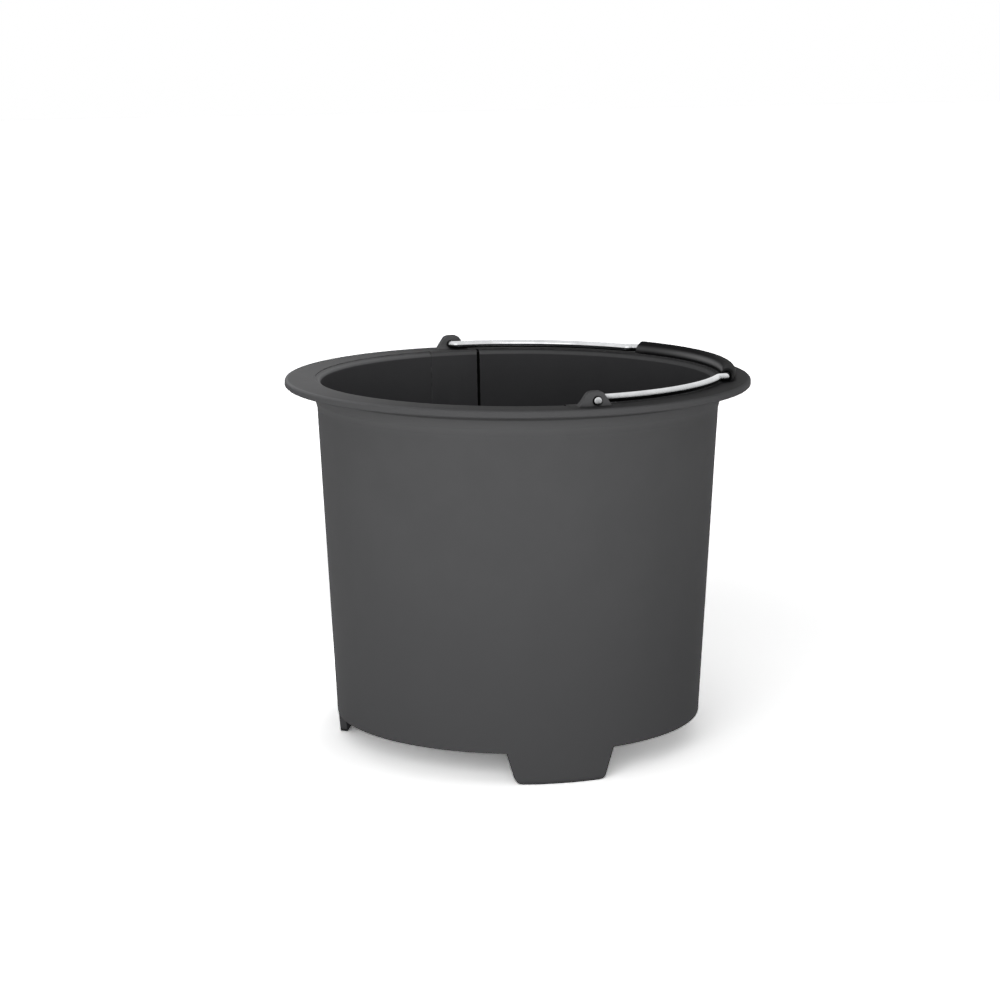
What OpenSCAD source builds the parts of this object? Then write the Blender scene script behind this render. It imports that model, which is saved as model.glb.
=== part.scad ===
// Lift-out bucket of an electric food waste composter.
// Millimetres. +Z is up, the origin is on the bucket's axis at the floor that it stands on.
// The bail's hinge line runs along Y and the folded grip lies towards +X.

/* [Bucket] */
// Outer radius of the wall just under the flange
wall_r_top = 99.7; // [80:0.1:125]
// How much smaller the wall's radius is at its bottom edge
wall_taper = 8.7; // [4:0.1:12]
// Height of the flange's flat top above the floor
rim_z = 183.4; // [150:0.1:230]
// How far the flange reaches out from the wall
flange_w = 15.3; // [14:0.1:30]
// Thickness of the flange
flange_t = 3.5; // [3:0.1:5]
// Radius of the flange's rounded top corner
flange_round = 1.2; // [0.6:0.1:1.5]
// Thickness of the wall
wall_t = 2.4; // [2.2:0.1:3]
// How far the collar under the flange stands out from the wall
collar_t = 0.3; // [0.2:0.1:2]
// Height of the collar
collar_h = 11; // [6:0.5:14]
// Radius of the rounding from the flange down to the inner wall
lip_round = 2.5; // [1.5:0.1:3]
// Thickness of the floor
floor_t = 3; // [2.5:0.1:5]
// How far the wall reaches below the floor's underside
skirt_h = 3.7; // [3.2:0.1:6]
// Number of ribs under the floor
rib_n = 6; // [3:1:9]

/* [Feet] */
// Height of the three feet
foot_h = 15.3; // [14.5:0.1:18]
// Width of a foot where it meets the wall
foot_w_top = 53; // [40:0.5:60]
// Width of a foot at the floor
foot_w_low = 45; // [34:0.5:54]
// Thickness of a foot
foot_t = 3.5; // [2.5:0.1:5]
// Radius of a foot's bottom corners
foot_round = 3.5; // [2:0.5:6]
// Direction of the first foot
foot_angle = 263.7; // [255:0.1:270]

/* [Wall bars and ears] */
// Width of the pocket in the wall
pocket_w = 27; // [24:0.5:32]
// Width of the shadow gap on one side of the bar
shadow_gap = 1.5; // [0.8:0.1:2]
// Thickness of the bar's leg
leg_t = 1.2; // [1:0.1:1.3]
// Depth that the saddle is let into the flange
saddle_t = 1.5; // [1.2:0.1:1.8]
// Height of the leg's shoulder above the floor
leg_z = 41.5; // [41:0.5:50]
// How far outside the wall the ear's inner face stands
ear_out_from_wall = 4.9; // [4.5:0.1:6]
// Thickness of the ear
ear_t = 3.4; // [3:0.1:4]
// Half the width of the flat on the ear's top
ear_top = 1.2; // [1:0.1:3]
// Radius of the ear's two shoulders
ear_round = 4; // [2:0.1:4.5]
// Slope of the ear's sides, in degrees
ear_slope = 56; // [52:1:75]
// Height of the ear above the flange
ear_h = 7.2; // [7:0.1:9]
// How far the ear stands to one side of the hinge line
ear_shift = 0.8; // [0:0.1:1]
// How far a fixed tooth reaches in from the wall's bottom edge
tooth_reach = 25; // [18:1:28]
// Width of a fixed tooth at its root
tooth_w = 14; // [10:1:18]
// Height of a fixed tooth
tooth_h = 9; // [6:0.5:10]
// Diameter of an ear screw
screw_d = 2.5; // [2:0.1:2.6]

/* [Bail] */
// Diameter of the bail's wire
wire_d = 3.9; // [3.5:0.1:4]
// How far outside the wall's top the wire's legs run
leg_out = 1.3; // [1.1:0.1:1.5]
// How much further out the wire runs inside the grip
hand_out = 2.9; // [2.6:0.1:4]
// Inner radius of the wire's bends
bend_r = 3.5; // [3.4:0.1:3.6]
// Gap between the wire's underside and the flange
wire_gap = 0.65; // [0.5:0.05:1]
// Half the angle that the grip spans
grip_span = 32.8; // [25:0.2:40]
// Thickness of the grip on the wire's inner side
grip_in = 1; // [0.9:0.05:1.5]
// Thickness of the grip on the wire's outer side
grip_out = 1.6; // [1.2:0.05:3]
// Thickness of the grip above the wire
grip_above = 1.65; // [1.5:0.05:3]
// How far the grip reaches below the wire
grip_below = 0.35; // [0.2:0.05:0.4]

/* [Agitator] */
// Diameter of the shaft in its bushes
shaft_d = 12; // [10:0.5:12.5]
// How far the shaft's shoulder, which the seal runs on, stands out
shoulder_step = 1.5; // [1:0.1:3]
// Width across the flats of the shaft's square
square_w = 10; // [9:0.1:10.4]
// How far the scraper arms' tips stay inside the wall's bottom edge
scraper_gap = 6; // [5:0.5:20]
// How far the blades' tips stay inside the wall's bottom edge
blade_gap = 5; // [4.5:0.5:18]
// Thickness of a blade
blade_t = 6; // [4:0.5:8]
// Height of the lower spacer
spacer_low_h = 11.5; // [9.5:0.5:14]
// Height of the upper spacer
spacer_high_h = 20; // [16:1:24]
// Thread diameter at the shaft's top
thread_d = 8; // [6:1:8]

/* [Bearing and coupling] */
// Thickness of the bushes
bush_t = 2; // [1.5:0.1:3]
// Length of a bush
bush_h = 12; // [10:0.5:13]
// Thickness of the casting around the bushes
hub_t = 9; // [8:0.5:12]
// Width of the shaft seal, from its lip to its outside
seal_w = 4.5; // [4:0.1:6]
// Height of the shaft seal
seal_h = 5; // [4:0.5:6]
// Outer diameter of the coupling's claws
claw_d = 34; // [30:1:40]
// Diameter of the coupling's pilot bore
pilot_d = 11; // [8:0.5:11.5]
// Width of the slots between the claws
claw_slot = 6; // [5:0.5:7]

/* [Hidden] */
$fn = 96;

// Clearances: a turning fit, a seat that is pushed together, a piece let into a pocket
run_gap = 0.04;
seat_gap = 0.02;
pocket_gap = 0.1;

// Colours
coat = [0.27, 0.27, 0.28];
steel = [0.78, 0.79, 0.80];
cast = [0.62, 0.63, 0.64];
black = [0.07, 0.07, 0.075];
bronze = [0.66, 0.50, 0.30];
seal_colour = [0.55, 0.20, 0.12];
dark_steel = [0.35, 0.35, 0.37];

// Radii and heights of the shell
wall_r_low = wall_r_top - wall_taper;
rim_r = wall_r_top + flange_w;
flange_z = rim_z - flange_t;
floor_low = foot_h + skirt_h;
floor_z = floor_low + floor_t;
rib_t = 2.4;
rib_h = skirt_h - 0.7;
floor_fillet = 3;
lip_step = 0.4;
collar_slope_h = 3.5;

// Hub in the floor, from the bottom up
bush_d = shaft_d + 2 * bush_t;
shoulder_d = shaft_d + 2 * shoulder_step;
seal_d = shoulder_d + 2 * seal_w;
hub_low = floor_low - 4;
hub_r = bush_d / 2 + hub_t;
hub_r_low = hub_r + 1;
bush_gap = 6;
upper_bush_z = hub_low + bush_h + bush_gap;
seal_pocket_z = upper_bush_z + bush_h;
thrust_t = 1;
hub_top = seal_pocket_z + thrust_t + seal_h;

// Shaft, from the coupling up
ring_t = 0.95;
ring_groove = 0.5;
washer_z = hub_low - pocket_gap - thrust_t;
ring_z = washer_z - ring_t - 0.05;
coupling_top = ring_z - 0.4;
coupling_h = 10;
coupling_z = coupling_top - coupling_h;
pilot_h = 5.5;
claw_h = 4.5;
disc_h = 6;
coupling_hub_d = shaft_d + 10;
pin_d = 2.5;
pin_z = coupling_z + disc_h + 2;
shaft_low = coupling_z + pilot_h;
shoulder_z = seal_pocket_z + thrust_t + pocket_gap;
square_z = hub_top + 1.5;
square_round_d = square_w + 3;

// Stack on the square, from the bell up
scraper_r = wall_r_low - scraper_gap;
blade_r = wall_r_low - blade_gap;
bell_top_t = 6;
bell_in_r = hub_r + 2.5;
bell_r = bell_in_r + 3.5;
bell_z = floor_z + 2.5;
scraper_h = 10;
lower_spacer_z = square_z + bell_top_t;
middle_blade_z = lower_spacer_z + spacer_low_h;
upper_spacer_z = middle_blade_z + blade_t;
upper_blade_z = upper_spacer_z + spacer_high_h;
top_washer_z = upper_blade_z + blade_t;
top_washer_t = 1.5;
nut_z = top_washer_z + top_washer_t;
nut_h = 6.5;
nut_w = thread_d * 1.625;
thread_h = top_washer_t + nut_h + 1;
spacer_d = square_round_d + 11;
blade_hub_d = spacer_d + 8;

// Ears and bail
ear_r = wall_r_top + ear_out_from_wall;
leg_r = wall_r_top + leg_out;
hand_r = leg_r + hand_out;
tooth_r = wall_r_low - tooth_reach;
hinge_z = rim_z + wire_d / 2 + wire_gap;
grip_up = wire_d / 2 + grip_above;
grip_down = wire_d / 2 + grip_below;
ear_hole_d = wire_d + 0.18;
ear_out = ear_r + ear_t;
wire_end = ear_out + 0.9;
wire_step = 4;
inner_fillet = 3;
bar_round = 0.6;
ear_side_x = ear_top + ear_round * sin(ear_slope);
ear_side_h = ear_h - ear_round * (1 - cos(ear_slope));
ear_base = ear_side_x + ear_side_h / tan(ear_slope);
bar_in = wall_r_low - 31;
bar_room = rim_r - bar_in;
screw_places = [ear_shift - 4.9, ear_shift + 4.9];
screw_y = ear_r + 1.2;
screw_up = saddle_t + 2.2;
screw_head_d = screw_d * 2;
screw_head_h = 1.25;
keeper_w = 18;
keeper_t = 2.5;
tongue_w = 16;
tongue_h = 7;
pocket_z = leg_z - 0.5 - tongue_h;
tooth_z = [middle_blade_z - 3 - tooth_h, upper_blade_z - 3 - tooth_h];

// Outer and inner radius of the tapered wall at height z
function out_r(z) = wall_r_low + (z - foot_h) * (wall_r_top - wall_r_low) / (flange_z - foot_h);
function in_r(z) = out_r(z) - wall_t;

// Points along an arc from angle a0 to a1
function arc(cx, cy, r, a0, a1, n) =
    [for (i = [0 : n]) let (a = a0 + (a1 - a0) * i / n) [cx + r * cos(a), cy + r * sin(a)]];

// Ring of the given radii, standing on z
module ring(r_out, r_in, z, h) {
    translate([0, 0, z]) difference() {
        cylinder(r = r_out, h = h);
        translate([0, 0, -1]) cylinder(r = r_in, h = h + 2);
    }
}

// Half section of the shell: wall, flange, lip, floor and bearing hub
module shell_section() {
    lip_z = rim_z - lip_step - lip_round;
    lip_r = in_r(lip_z);
    collar_r = wall_r_top + collar_t;
    collar_z = flange_z - collar_h;
    polygon(concat(
        [[out_r(collar_z), collar_z], [collar_r, collar_z + collar_slope_h]],
        [[collar_r, flange_z], [rim_r - 0.6, flange_z], [rim_r, flange_z + 0.6]],
        arc(rim_r - flange_round, rim_z - flange_round, flange_round, 0, 90, 5),
        [[lip_r + lip_round + 0.3, rim_z], [lip_r + lip_round + 0.3, rim_z - lip_step]],
        arc(lip_r + lip_round, lip_z, lip_round, 90, 180, 6),
        arc(in_r(floor_z + floor_fillet) - floor_fillet, floor_z + floor_fillet, floor_fillet, 0, -90, 6),
        arc(hub_r + floor_fillet, floor_z + floor_fillet, floor_fillet, 270, 180, 6),
        [[hub_r, hub_top - 1], [hub_r - 1, hub_top], [seal_d / 2, hub_top]],
        [[seal_d / 2, seal_pocket_z], [bush_d / 2, seal_pocket_z], [bush_d / 2, upper_bush_z]],
        [[bush_d / 2 + 0.5, upper_bush_z], [bush_d / 2 + 0.5, hub_low + bush_h]],
        [[bush_d / 2, hub_low + bush_h], [bush_d / 2, hub_low], [hub_r_low, hub_low]],
        [[hub_r_low, floor_low], [out_r(floor_low) - foot_t, floor_low]],
        [[out_r(0) - foot_t, 0], [out_r(0), 0]]
    ));
}

// Outline of a foot, seen from outside, with round bottom corners
module foot_outline() {
    polygon(concat(
        [[foot_w_top / 2, foot_h + 1], [-foot_w_top / 2, foot_h + 1]],
        arc(-foot_w_low / 2 + foot_round, foot_round, foot_round, 190, 270, 5),
        arc(foot_w_low / 2 - foot_round, foot_round, foot_round, 270, 350, 5)
    ));
}

// What is cut from the skirt so that only the three feet reach the floor
module between_feet() {
    skirt_in = wall_r_low - 20;
    difference() {
        ring(rim_r, skirt_in, -1, foot_h + 1);
        for (k = [0 : 2]) rotate([0, 0, foot_angle + k * 120]) translate([skirt_in - 5, 0, 0])
            rotate([90, 0, 90]) linear_extrude(rim_r - skirt_in) foot_outline();
    }
}

// Section of the bar: thin leg on the wall, saddle let into the flange, ear standing on it
module bar_section() {
    top_z = rim_z - bar_round;
    polygon(concat(
        [[in_r(pocket_z) + leg_t, pocket_z], [in_r(pocket_z), pocket_z], [in_r(top_z), top_z]],
        arc(in_r(top_z) + bar_round, top_z, bar_round, 180, 90, 4),
        arc(ear_r - inner_fillet, rim_z + inner_fillet, inner_fillet, 270, 360, 6),
        [[ear_r, rim_z + ear_h - 0.6], [ear_r + 0.6, rim_z + ear_h]],
        [[ear_out - 0.6, rim_z + ear_h], [ear_out, rim_z + ear_h - 0.6]],
        [[ear_out, rim_z - saddle_t], [in_r(rim_z) + leg_t, rim_z - saddle_t]]
    ));
}

// Section of the room that the bar needs in the shell
module pocket_section() {
    polygon([
        [in_r(pocket_z) + leg_t + pocket_gap, pocket_z], [in_r(pocket_z) - 1, pocket_z],
        [in_r(rim_z) - 1, rim_z + 1], [ear_out + pocket_gap, rim_z + 1],
        [ear_out + pocket_gap, rim_z - saddle_t], [in_r(rim_z) + leg_t + pocket_gap, rim_z - saddle_t]
    ]);
}

// Outline of the ear above the saddle, seen along Y: sloping sides and round shoulders
module ear_outline() {
    translate([ear_shift, rim_z]) {
        polygon([
            [-ear_base, 0], [ear_base, 0], [ear_side_x, ear_side_h], [ear_top, ear_h],
            [-ear_top, ear_h], [-ear_side_x, ear_side_h]
        ]);
        for (x = [-ear_top, ear_top]) translate([x, ear_h - ear_round]) circle(r = ear_round);
    }
}

// Plan of the saddle: as wide as the pocket at the wall, narrowed to the ear
module saddle_plan(left, right, edge) {
    ear_left = ear_shift - ear_base - edge;
    ear_right = ear_shift + ear_base + edge;
    polygon([
        [left, bar_in], [right, bar_in], [right, in_r(rim_z) + 3], [ear_right, ear_r],
        [ear_right, ear_out + 1], [ear_left, ear_out + 1], [ear_left, ear_r], [left, in_r(rim_z) + 3]
    ]);
}

// One fixed tooth, standing in from the bar's leg towards the shaft
module fixed_tooth(z) {
    tip_w = tooth_w * 0.6;
    root_y = in_r(z) + leg_t / 2;
    translate([0, 0, z]) linear_extrude(tooth_h) polygon(concat(
        [[tooth_w / 2, root_y], [-tooth_w / 2, root_y]],
        [[-tooth_w / 2, root_y - 8]],
        arc(-tip_w / 2 + 2, tooth_r + 2, 2, 195, 270, 4),
        arc(tip_w / 2 - 2, tooth_r + 2, 2, 270, 345, 4),
        [[tooth_w / 2, root_y - 8]]
    ));
}

// Countersunk screw's outline, grown by gap, with its head at the flange's underside
module screw_room(gap) {
    translate([0, 0, flange_z]) {
        cylinder(d = screw_d + 2 * gap, h = flange_t - saddle_t + screw_up + gap, $fn = 32);
        cylinder(d1 = screw_head_d + 2 * gap, d2 = screw_d + 2 * gap, h = screw_head_h, $fn = 48);
    }
}

// Wall bar for the +Y side: ear, saddle, leg and two fixed teeth in one casting
module wall_bar() {
    left = -pocket_w / 2 + pocket_gap;
    right = pocket_w / 2 - shadow_gap;
    difference() {
        union() {
            intersection() {
                rotate_extrude() bar_section();
                linear_extrude(rim_z + 2 * ear_h) saddle_plan(left, right, 0);
                union() {
                    translate([left, bar_in, leg_z]) cube([right - left, bar_room, rim_z - leg_z]);
                    translate([-tongue_w / 2, bar_in, pocket_z])
                        cube([tongue_w, bar_room, leg_z - pocket_z + 1]);
                    translate([0, rim_r, 0]) rotate([90, 0, 0])
                        linear_extrude(bar_room) ear_outline();
                }
            }
            for (z = tooth_z) fixed_tooth(z);
        }
        translate([0, ear_out + 5, hinge_z]) rotate([90, 0, 0]) cylinder(d = ear_hole_d, h = 12, $fn = 48);
        translate([0, ear_out + 0.01, hinge_z]) rotate([90, 0, 0])
            cylinder(d1 = ear_hole_d + 1, d2 = ear_hole_d, h = 0.5, $fn = 48);
        for (x = screw_places) translate([x, screw_y, 0]) screw_room(0.05);
    }
}

// Room for one wall bar on the +Y side, with its screw holes
module bar_pocket() {
    intersection() {
        rotate_extrude() pocket_section();
        linear_extrude(rim_z + 2) saddle_plan(-pocket_w / 2, pocket_w / 2, pocket_gap);
    }
    for (x = screw_places) translate([x, screw_y, 0]) screw_room(0.1);
}

// Keeper that holds the leg's tongue against the wall on the +Y side
module tongue_keeper() {
    intersection() {
        rotate_extrude() polygon([
            [in_r(pocket_z) - keeper_t, pocket_z - 2], [in_r(pocket_z) + 1, pocket_z - 2],
            [in_r(leg_z) + 1, leg_z - 1], [in_r(leg_z) - 0.6, leg_z - 1],
            [in_r(leg_z) - keeper_t, leg_z - 3]
        ]);
        translate([-keeper_w / 2, bar_in, 0]) cube([keeper_w, bar_room, leg_z]);
    }
}

module bucket() {
    color(coat) {
        difference() {
            union() {
                rotate_extrude() shell_section();
                for (side = [0, 180]) rotate([0, 0, side]) tongue_keeper();
            }
            for (side = [0, 180]) rotate([0, 0, side]) bar_pocket();
            between_feet();
        }
        for (k = [0 : rib_n - 1]) rotate([0, 0, foot_angle + k * 360 / rib_n])
            translate([hub_r_low - 1, -rib_t / 2, floor_low - rib_h])
                cube([out_r(foot_h) - foot_t - hub_r_low + 2, rib_t, rib_h + 1]);
    }
}

module front_wall_bar() {
    color(coat) rotate([0, 0, 180]) wall_bar();
}

module back_wall_bar() {
    color(coat) wall_bar();
}

// Countersunk screws that come up through the flange into each ear
module ear_screws() {
    color(dark_steel) for (side = [0, 180]) rotate([0, 0, side])
        for (x = screw_places) translate([x, screw_y, 0]) difference() {
            screw_room(0);
            translate([0, 0, flange_z - 1]) cylinder(d = 1.5, h = 1.8, $fn = 6);
        }
}

// Centre line of half the bail, from the ear on the +Y side to the middle of the grip
function half_line() = let (
        ear_bend_y = sqrt(pow(leg_r + bend_r, 2) - pow(bend_r, 2)),
        ear_bend_a = atan2(ear_bend_y, bend_r),
        out_c = leg_r + bend_r,
        in_c = hand_r - bend_r,
        turn = acos((out_c * out_c + in_c * in_c - 4 * bend_r * bend_r) / (2 * out_c * in_c)),
        in_a = grip_span + 0.5,
        hand_steps = ceil(hand_r * in_a * PI / 180 / wire_step),
        out_a = in_a + turn,
        out_x = out_c * cos(out_a),
        out_y = out_c * sin(out_a),
        in_x = in_c * cos(in_a),
        in_y = in_c * sin(in_a),
        meet = atan2(out_y - in_y, out_x - in_x)
    ) concat(
        // Bend out of the ear, leg, S bend out to the grip's circle, half of the grip's circle
        arc(bend_r, ear_bend_y, bend_r, 180, 180 + ear_bend_a, 9),
        skip_first(arc(0, 0, leg_r, ear_bend_a, out_a, 26)),
        skip_first(arc(out_x, out_y, bend_r, out_a + 180, meet + 180, 8)),
        skip_first(arc(in_x, in_y, bend_r, meet, in_a, 8)),
        skip_first(arc(0, 0, hand_r, in_a, 0, hand_steps))
    );

function skip_first(list) = [for (i = [1 : len(list) - 1]) list[i]];

// The whole centre line: the half, and its mirror image back to the other ear
function whole_line() = let (half = half_line(), n = len(half))
    concat(half, [for (i = [n - 2 : -1 : 0]) [half[i][0], -half[i][1]]]);

// Round tube of diameter d along a flat line that starts and ends along Y
module tube(line, d, sides) {
    last = len(line) - 1;
    function along(i) = i == 0 ? [0, -1] : i == last ? [0, -1] : line[i + 1] - line[i - 1];
    function across(i) = let (t = along(i) / norm(along(i))) [-t[1], t[0]];
    points = [for (i = [0 : last], k = [0 : sides - 1])
        let (a = 360 * k / sides, n = across(i))
            [line[i][0] + d / 2 * cos(a) * n[0], line[i][1] + d / 2 * cos(a) * n[1], d / 2 * sin(a)]];
    skin = [for (i = [0 : last - 1], k = [0 : sides - 1], half = [0, 1])
        let (j = (k + 1) % sides, a = i * sides + k, b = i * sides + j, up = sides)
            half == 0 ? [a, a + up, b + up] : [a, b + up, b]];
    near_end = [for (k = [1 : sides - 2]) [0, k, k + 1]];
    far_end = [for (k = [1 : sides - 2]) [last * sides, last * sides + k + 1, last * sides + k]];
    polyhedron(points, concat(skin, near_end, far_end), convexity = 10);
}

module bail_wire() {
    line = whole_line();
    color(steel) translate([0, 0, hinge_z]) {
        tube(line, wire_d, 16);
        // Straight ends that turn in the ears
        for (side = [0, 180]) rotate([0, 0, side]) translate([0, line[0][1], 0])
            rotate([-90, 0, 0]) cylinder(d = wire_d, h = wire_end - line[0][1], $fn = 48);
    }
}

// Section of the grip about the wire's centre, shrunk by inset
module grip_section(inset) {
    r0 = hand_r - wire_d / 2 - grip_in + inset;
    r1 = hand_r + wire_d / 2 + grip_out - inset;
    z0 = -grip_down + inset;
    z1 = grip_up - inset;
    top_round = (r1 - r0) / 2 - 0.05;
    low_round = 0.7;
    polygon(concat(
        arc(r0 + low_round, z0 + low_round, low_round, 180, 270, 3),
        arc(r1 - low_round, z0 + low_round, low_round, 270, 360, 3),
        arc(r1 - top_round, z1 - top_round, top_round, 0, 90, 8),
        arc(r0 + top_round, z1 - top_round, top_round, 90, 180, 8)
    ));
}

module bail_grip() {
    channel_d = wire_d + 2 * seat_gap;
    mouth_w = wire_d * 0.86;
    end_cut = 2;
    color(black) translate([0, 0, hinge_z]) difference() {
        rotate([0, 0, -grip_span]) rotate_extrude(angle = 2 * grip_span) grip_section(0);
        // Channel that snaps over the wire from above
        rotate([0, 0, -grip_span - 1]) rotate_extrude(angle = 2 * grip_span + 2)
            translate([hand_r, 0]) {
                circle(d = channel_d, $fn = 32);
                translate([-mouth_w / 2, -grip_down - 1]) square([mouth_w, grip_down + 1]);
            }
        // Hollow ends, and end faces that lean back towards the top
        for (side = [0, 1]) mirror([0, side, 0]) {
            rotate([0, 0, grip_span - end_cut]) rotate_extrude(angle = end_cut + 1) grip_section(1.1);
            rotate([0, 0, grip_span]) translate([hand_r, 0, -grip_down]) rotate([22, 0, 0])
                translate([-8, 0, -2]) cube([16, 12, 16]);
        }
    }
}

// Turned shaft: pinned end, groove, journal, shoulder, square and thread
module drive_shaft() {
    color(steel) difference() {
        union() {
            rotate_extrude() polygon([
                [0, shaft_low], [shaft_d / 2 - 0.5, shaft_low], [shaft_d / 2, shaft_low + 0.5],
                [shaft_d / 2, ring_z - 0.03], [shaft_d / 2 - ring_groove, ring_z - 0.03],
                [shaft_d / 2 - ring_groove, ring_z + ring_t + 0.03],
                [shaft_d / 2, ring_z + ring_t + 0.03], [shaft_d / 2, shoulder_z],
                [shoulder_d / 2, shoulder_z], [shoulder_d / 2, square_z], [0, square_z]
            ]);
            intersection() {
                translate([-square_w / 2, -square_w / 2, square_z - 1])
                    cube([square_w, square_w, top_washer_z - square_z + 0.5]);
                translate([0, 0, square_z - 2]) cylinder(d = square_round_d, h = top_washer_z);
            }
            translate([0, 0, top_washer_z - 1]) cylinder(d = thread_d, h = thread_h, $fn = 48);
            translate([0, 0, top_washer_z - 1 + thread_h])
                cylinder(d1 = thread_d, d2 = thread_d - 2, h = 1, $fn = 48);
        }
        translate([-shaft_d, 0, pin_z]) rotate([0, 90, 0])
            cylinder(d = pin_d + 2 * seat_gap, h = 2 * shaft_d, $fn = 32);
    }
}

// Square hole that keys a piece to the shaft
module square_hole(z, h) {
    hole_w = square_w + 4 * seat_gap;
    translate([-hole_w / 2, -hole_w / 2, z - 1]) cube([hole_w, hole_w, h + 2]);
}

// Straight arm along +X with the given section (across, up), cut off on a circle at its tip
module arm(section, tip_r, z, h) {
    intersection() {
        translate([0, 0, z]) rotate([90, 0, 90]) linear_extrude(tip_r + 1) polygon(section);
        translate([0, 0, z - 1]) cylinder(r = tip_r, h = h + 2);
        // The trailing side narrows towards the tip
        translate([0, 0, z - 1]) linear_extrude(h + 2)
            polygon([[0, -20], [20, -9], [tip_r, -4], [tip_r + 2, -4], [tip_r + 2, 20], [0, 20]]);
    }
}

// Bell that covers the hub, with two arms that scrape the floor
module lower_agitator() {
    section = [[-8, 0], [8, 0], [8, 1.2], [0, scraper_h], [-8, scraper_h]];
    color(cast) difference() {
        union() {
            rotate_extrude() polygon([
                [bell_in_r, bell_z], [bell_r + 1, bell_z], [bell_r, bell_z + scraper_h + 3],
                [bell_r - 2, square_z + 1.5], [bell_r - 6, square_z + bell_top_t],
                [0, square_z + bell_top_t], [0, square_z], [bell_in_r - 2, square_z],
                [bell_in_r, square_z - 2]
            ]);
            for (turn = [20, 200]) rotate([0, 0, turn]) difference() {
                arm(section, scraper_r, bell_z, scraper_h);
                translate([0, 0, bell_z - 1]) cylinder(r = bell_in_r + 1, h = scraper_h + 2);
            }
        }
        square_hole(square_z, bell_top_t);
    }
}

// Two-armed blade with a bevelled, notched leading edge
module blade(z, turn) {
    section = [[-8, 0], [8, 0], [8, 1.5], [2, blade_t], [-8, blade_t]];
    notch_w = 3.4;
    notch_step = 9;
    color(cast) difference() {
        union() {
            translate([0, 0, z]) cylinder(d = blade_hub_d, h = blade_t);
            for (side = [0, 180]) rotate([0, 0, turn + side]) arm(section, blade_r, z, blade_t);
        }
        square_hole(z, blade_t);
        for (side = [0, 180], x = [26 : notch_step : blade_r - 6]) rotate([0, 0, turn + side])
            translate([x, 8, z - 1]) rotate([0, 0, 45])
                translate([-notch_w / 2, -notch_w / 2, 0]) cube([notch_w, notch_w, blade_t + 2]);
    }
}

module middle_blade() {
    blade(middle_blade_z, 80);
}

module upper_blade() {
    blade(upper_blade_z, 140);
}

module lower_spacer() {
    color(steel) ring(spacer_d / 2, square_round_d / 2 + 0.1, lower_spacer_z, spacer_low_h);
}

module upper_spacer() {
    color(steel) ring(spacer_d / 2, square_round_d / 2 + 0.1, upper_spacer_z, spacer_high_h);
}

module lock_washer() {
    color(steel) ring(thread_d, thread_d / 2 + 0.2, top_washer_z, top_washer_t);
}

// Hexagon nut with a closed dome
module dome_nut() {
    dome_r = nut_w / 2 - 0.3;
    color(steel) difference() {
        union() {
            intersection() {
                translate([0, 0, nut_z]) cylinder(r = nut_w / sqrt(3), h = nut_h, $fn = 6);
                translate([0, 0, nut_z]) cylinder(r1 = nut_w, r2 = nut_w / 2 + 0.2, h = nut_h);
            }
            translate([0, 0, nut_z + nut_h - 1.5]) sphere(r = dome_r, $fn = 64);
        }
        translate([0, 0, nut_z - nut_w]) cylinder(r = nut_w, h = nut_w);
        translate([0, 0, nut_z - 1]) cylinder(d = thread_d + 2 * seat_gap, h = nut_h + 2.5, $fn = 48);
    }
}

module bush(z) {
    color(bronze) ring(bush_d / 2 - seat_gap, shaft_d / 2 + run_gap, z, bush_h);
}

module lower_bush() {
    bush(hub_low);
}

module upper_bush() {
    bush(upper_bush_z);
}

// Lip seal in the hub's top pocket, which runs on the shaft's shoulder
module shaft_seal() {
    z = seal_pocket_z + thrust_t;
    lip_r = shoulder_d / 2 + run_gap;
    out = seal_d / 2 - seat_gap;
    color(seal_colour) rotate_extrude() polygon([
        [out, z + 0.1], [out, z + seal_h - 0.3], [out - 0.3, z + seal_h], [lip_r + 0.8, z + seal_h],
        [lip_r, z + seal_h - 1], [lip_r + 0.8, z + seal_h - 2], [lip_r + 1.4, z + seal_h - 2],
        [out - 1.4, z + seal_h - 2], [out - 1.4, z + 1.1], [lip_r + 1, z + 1.1], [lip_r + 1, z + 0.1]
    ]);
}

module upper_thrust_washer() {
    color(bronze) ring(seal_d / 2 - 1.5, shaft_d / 2 + 0.2, seal_pocket_z, thrust_t);
}

module lower_thrust_washer() {
    color(bronze) ring(seal_d / 2, shaft_d / 2 + 0.2, washer_z, thrust_t);
}

// Open ring that snaps into the shaft's groove
module retaining_ring() {
    ring_in = shaft_d / 2 - ring_groove + 0.05;
    color(dark_steel) difference() {
        ring(ring_in + 2.6, ring_in, ring_z, ring_t);
        translate([0, -2.5, ring_z - 1]) cube([20, 5, ring_t + 2]);
    }
}

// Claw coupling under the floor, with a blind pilot bore that opens downwards
module drive_coupling() {
    color(dark_steel) difference() {
        union() {
            translate([0, 0, coupling_z]) cylinder(d = claw_d, h = disc_h);
            translate([0, 0, coupling_z]) cylinder(d = coupling_hub_d, h = coupling_h);
        }
        translate([0, 0, coupling_z - 1]) cylinder(d = pilot_d, h = pilot_h + 2, $fn = 48);
        translate([0, 0, shaft_low]) cylinder(d = shaft_d + 2 * seat_gap, h = coupling_h, $fn = 64);
        for (k = [0 : 3]) rotate([0, 0, k * 90])
            translate([pilot_d / 2 + 3.5, -claw_slot / 2, coupling_z - 1])
                cube([claw_d, claw_slot, claw_h + 1]);
        translate([-claw_d / 2, 0, pin_z]) rotate([0, 90, 0])
            cylinder(d = pin_d + 2 * seat_gap, h = claw_d, $fn = 32);
    }
}

module coupling_pin() {
    color(steel) translate([-coupling_hub_d / 2, 0, pin_z]) rotate([0, 90, 0])
        cylinder(d = pin_d, h = coupling_hub_d, $fn = 32);
}

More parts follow.
